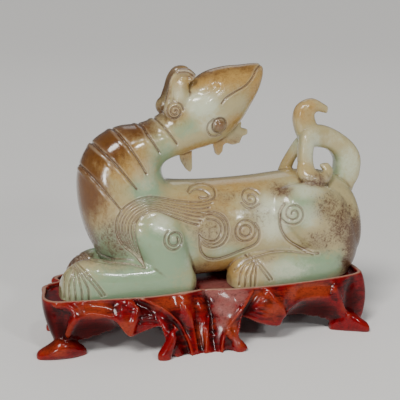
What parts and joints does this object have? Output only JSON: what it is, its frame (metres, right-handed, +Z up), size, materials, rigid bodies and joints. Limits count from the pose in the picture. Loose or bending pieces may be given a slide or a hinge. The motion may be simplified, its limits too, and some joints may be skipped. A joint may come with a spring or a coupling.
{
  "type": "jade beast carving on stand",
  "caption": "Recumbent mythical beast carved in pale green and russet jade, head thrown back over its body, resting in the tray of a fitted red hardwood stand",
  "frame": {"origin": "centre of the bounding box, on the ground under the stand", "axes": "+X from chest to rump along the length, +Y from the seen flank to the other one, +Z up"},
  "size_m": [0.1859, 0.0954, 0.142],
  "materials": {
    "jade_beast": "polished",
    "carved_stand": "lacquered"
  },
  "bodies": {
    "root": {"jade_beast": "jade_beast", "carved_stand": "carved_stand"}
  },
  "joints": []
}
